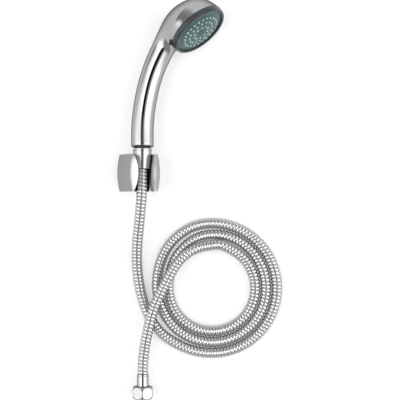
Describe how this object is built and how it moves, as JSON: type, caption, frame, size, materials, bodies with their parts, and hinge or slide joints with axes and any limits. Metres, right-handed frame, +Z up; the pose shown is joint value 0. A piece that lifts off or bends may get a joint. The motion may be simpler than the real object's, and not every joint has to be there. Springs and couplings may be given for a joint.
{
  "type": "handheld shower head",
  "caption": "Chrome handheld shower head resting in its wall holder, with a flexible metal hose laid in a coil, a cone nut and a hexagon end nut.",
  "frame": {"origin": "middle of the box around the handset and holder, on the table they lie on", "axes": "+Y along the handset from the holder to the head, +Z up from the table, +X to the side that the spray face looks towards"},
  "size_m": [0.213, 0.512, 0.0758],
  "materials": {
    "chrome_shell": "polished chrome plating",
    "chrome_nut": "polished chrome plating",
    "chrome_holder": "polished chrome plating",
    "chrome_fitting": "polished chrome plating",
    "hose_chrome": "polished double-lock steel spiral",
    "ring_grey": "satin moulded",
    "face_teal": "satin moulded",
    "cap_teal": "satin moulded",
    "nozzle_silicone": "soft silicone",
    "moulded_white": "moulded",
    "moulded_black": "moulded",
    "liner_black": "moulded",
    "black_rubber": "moulded rubber",
    "filter_mesh": "woven",
    "steel_screw": "plain",
    "brass": "turned"
  },
  "bodies": {
    "holder": {"holder_body": "chrome_holder", "seat_liner": "liner_black", "hose_run": "hose_chrome", "hose_coil": "hose_chrome", "hose_tail": "hose_chrome", "end_ferrule": "chrome_fitting", "end_stem": "brass", "end_washer": "black_rubber"},
    "hose_end": {"cone_stem": "brass", "cone_ferrule": "brass"},
    "handset": {"handset_shell": "chrome_shell", "inlet_thread": "moulded_black", "flow_limiter": "moulded_white", "inlet_washer": "black_rubber", "inlet_filter": "filter_mesh", "tube_seal": "black_rubber", "water_tube": "moulded_white", "cone_nut": "chrome_nut", "trim_ring": "ring_grey", "chamber_cup": "moulded_white", "chamber_seal": "black_rubber", "spray_plate": "face_teal", "nozzle_sheet": "nozzle_silicone", "face_screw": "steel_screw", "screw_cap": "cap_teal"},
    "end_nut": {"hex_nut": "chrome_fitting"}
  },
  "joints": [
    {"name": "handset_lift", "type": "slide", "parent": "holder", "child": "hose_end", "axis": [0, 0.9942, -0.1071], "range_m": [0, 0.03]},
    {"name": "handset_swivel", "type": "hinge", "parent": "hose_end", "child": "handset", "pos_m": [-0.0357, -0.0655, 0.02495], "axis": [0, 0.9942, -0.1071], "range_deg": [-110, 0]},
    {"name": "end_nut_spin", "type": "hinge", "parent": "holder", "child": "end_nut", "pos_m": [-0.0357, -0.35755, 0.0142], "axis": [0, -1, 0], "continuous": true}
  ]
}
